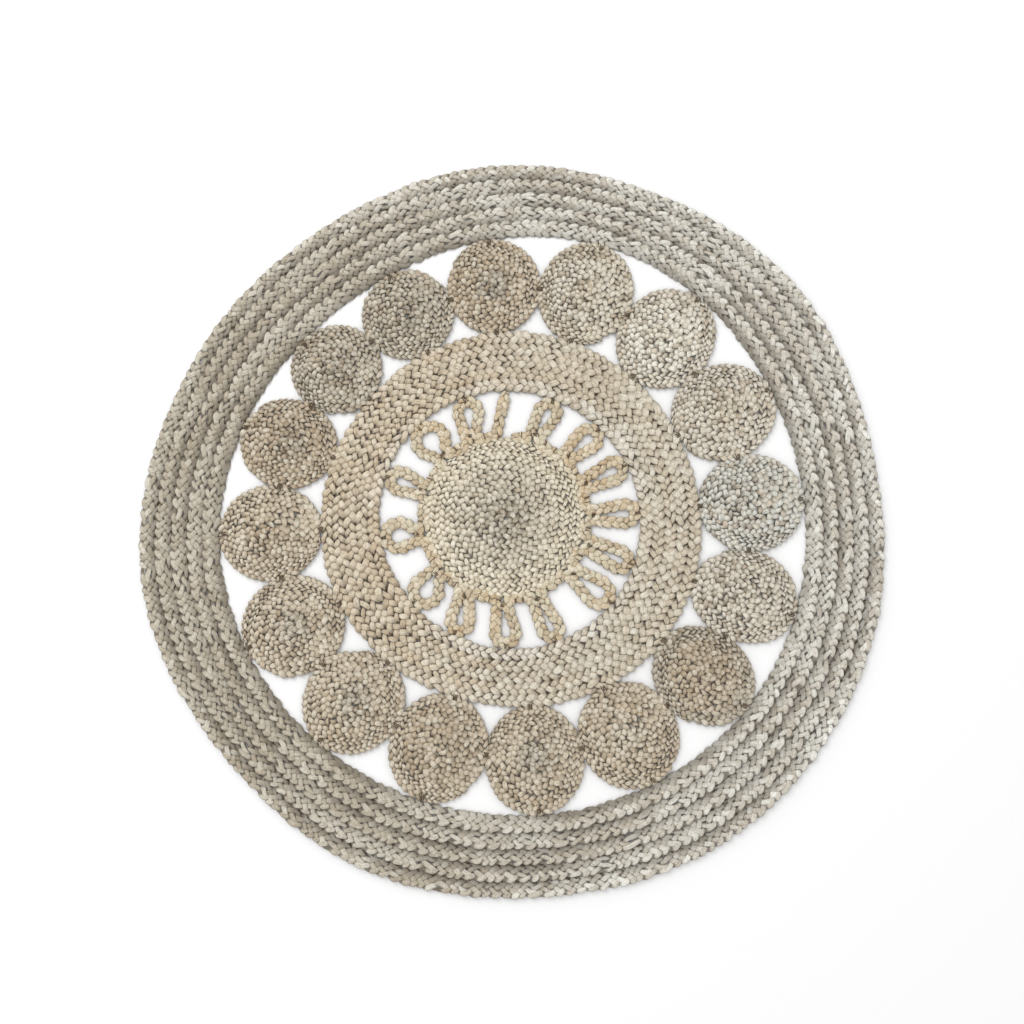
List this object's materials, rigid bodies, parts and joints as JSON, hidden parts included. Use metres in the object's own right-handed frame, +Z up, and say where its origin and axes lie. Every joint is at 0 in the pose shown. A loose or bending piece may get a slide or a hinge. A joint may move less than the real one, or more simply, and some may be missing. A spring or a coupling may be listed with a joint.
{
  "type": "round braided area rug",
  "caption": "Round openwork area rug of coiled and looped jute braid: a centre disc, a looped braid, a ring, a circle of oval rosettes and a broad braided border.",
  "frame": {"origin": "middle of the rug's underside, on the floor", "axes": "+Z up out of the pile side of the braid, +X and +Y across the rug; the loop braid's single strand points to +Y"},
  "size_m": [1.2035, 1.189, 0.0104],
  "materials": {
    "border_braid": "wide flat jute braid, grey-beige with brown-grey patches, matt",
    "ring_braid": "three-strand jute braid, warm tan, matt",
    "disc_braid": "narrow jute braid, tan with a grey-green middle, matt",
    "loop_braid": "three-strand jute braid, straw tan with golden strands, matt",
    "rosette_golden": "narrow jute braid, golden tan, matt",
    "rosette_beige": "narrow jute braid, light beige, matt",
    "rosette_brown": "narrow jute braid, grey-brown, matt",
    "rosette_grey": "narrow jute braid, greenish grey, matt",
    "sewing_thread": "waxed jute twine, dark brown, matt"
  },
  "bodies": {
    "root": {"border_row_1": "border_braid", "border_row_2": "border_braid", "border_row_3": "border_braid", "border_row_4": "border_braid", "border_row_5": "border_braid", "border_seam_thread_1": "sewing_thread", "border_seam_thread_2": "sewing_thread", "border_seam_thread_3": "sewing_thread", "border_seam_thread_4": "sewing_thread", "ring_row_1": "ring_braid", "ring_row_2": "ring_braid", "ring_row_3": "ring_braid", "ring_row_4": "ring_braid", "ring_row_5": "ring_braid", "ring_seam_thread_1": "sewing_thread", "ring_seam_thread_2": "sewing_thread", "ring_seam_thread_3": "sewing_thread", "ring_seam_thread_4": "sewing_thread", "rosette_01": "rosette_golden", "rosette_02": "rosette_beige", "rosette_03": "rosette_beige", "rosette_04": "rosette_brown", "rosette_05": "rosette_grey", "rosette_06": "rosette_grey", "rosette_07": "rosette_grey", "rosette_08": "rosette_golden", "rosette_09": "rosette_brown", "rosette_10": "rosette_golden", "rosette_11": "rosette_beige", "rosette_12": "rosette_golden", "rosette_13": "rosette_beige", "rosette_14": "rosette_brown", "rosette_15": "rosette_brown", "rosette_16": "rosette_grey", "centre_disc": "disc_braid", "loop_braid": "loop_braid", "rosette_side_tacks": "sewing_thread", "rosette_ring_tacks": "sewing_thread", "rosette_border_tacks": "sewing_thread", "loop_neck_tacks": "sewing_thread", "loop_foot_tacks": "sewing_thread", "loop_tip_tacks": "sewing_thread"}
  },
  "joints": []
}
